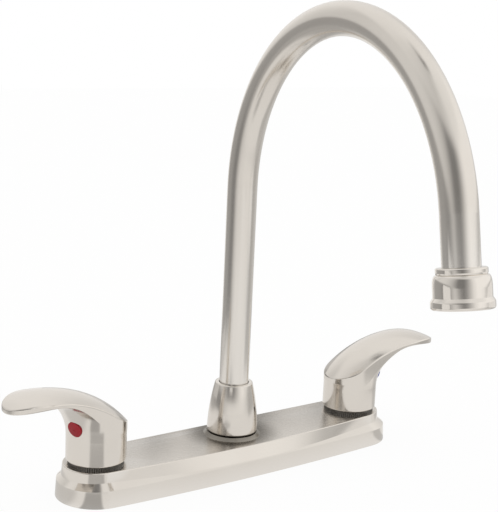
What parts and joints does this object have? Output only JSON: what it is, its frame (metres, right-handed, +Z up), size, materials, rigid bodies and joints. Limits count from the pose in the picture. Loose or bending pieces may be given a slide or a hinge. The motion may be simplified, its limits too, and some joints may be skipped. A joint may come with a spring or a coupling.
{
  "type": "mixer tap",
  "caption": "Deck-mounted mixer tap with a lever handle at each end of a long base cover and a high arched spout that swivels.",
  "frame": {"origin": "on the spout's swivel axis, at the face that rests on the deck", "axes": "+X to the user's right along the base, towards the cold side; +Y away from the user; +Z up"},
  "size_m": [0.331, 0.2613, 0.3475],
  "materials": {
    "brushed_nickel": "satin",
    "brass": "machined",
    "plain_steel": "plain",
    "black_plastic": "matte",
    "white_plastic": "matte",
    "rubber": "matte",
    "ceramic": "lapped",
    "red_plastic": "gloss",
    "blue_plastic": "gloss"
  },
  "bodies": {
    "base": {"base_cover": "brushed_nickel", "deck_gasket": "rubber", "spout_socket": "brass", "collar_base_ring": "black_plastic", "spout_collar": "brushed_nickel", "swivel_washer": "white_plastic", "valve_body_hot": "brass", "valve_body_cold": "brass", "crossover_tube_hot": "brass", "crossover_tube_cold": "brass", "mounting_washer_hot": "plain_steel", "mounting_washer_cold": "plain_steel", "mounting_nut_hot": "black_plastic", "mounting_nut_cold": "black_plastic", "seat_seal_hot": "rubber", "seat_seal_cold": "rubber", "fixed_disc_hot": "ceramic", "fixed_disc_cold": "ceramic", "cartridge_body_hot": "brass", "cartridge_body_cold": "brass", "bonnet_nut_hot": "black_plastic", "bonnet_nut_cold": "black_plastic"},
    "handle_hot": {"handle_hot": "brushed_nickel", "handle_screw_hot": "plain_steel", "index_button_hot": "red_plastic", "valve_stem_hot": "brass", "moving_disc_hot": "ceramic", "stem_o_ring_hot": "rubber"},
    "handle_cold": {"handle_cold": "brushed_nickel", "handle_screw_cold": "plain_steel", "index_button_cold": "blue_plastic", "valve_stem_cold": "brass", "moving_disc_cold": "ceramic", "stem_o_ring_cold": "rubber"},
    "spout": {"spout_tube": "brushed_nickel", "spout_fitting": "brass", "spout_o_rings": "rubber", "spout_bell": "brushed_nickel", "aerator_washer": "rubber", "aerator_ring": "brushed_nickel", "aerator_screen": "plain_steel", "aerator_insert": "white_plastic"}
  },
  "joints": [
    {"name": "hot_handle_turn", "type": "hinge", "parent": "base", "child": "handle_hot", "pos_m": [-0.1016, 0, 0.0226], "axis": [0, 0, 1], "range_deg": [0, 90]},
    {"name": "cold_handle_turn", "type": "hinge", "parent": "base", "child": "handle_cold", "pos_m": [0.1016, 0, 0.0226], "axis": [0, 0, 1], "range_deg": [-90, 0]},
    {"name": "spout_swivel", "type": "hinge", "parent": "base", "child": "spout", "pos_m": [0, 0, 0.0369], "axis": [0, 0, 1], "continuous": true}
  ]
}
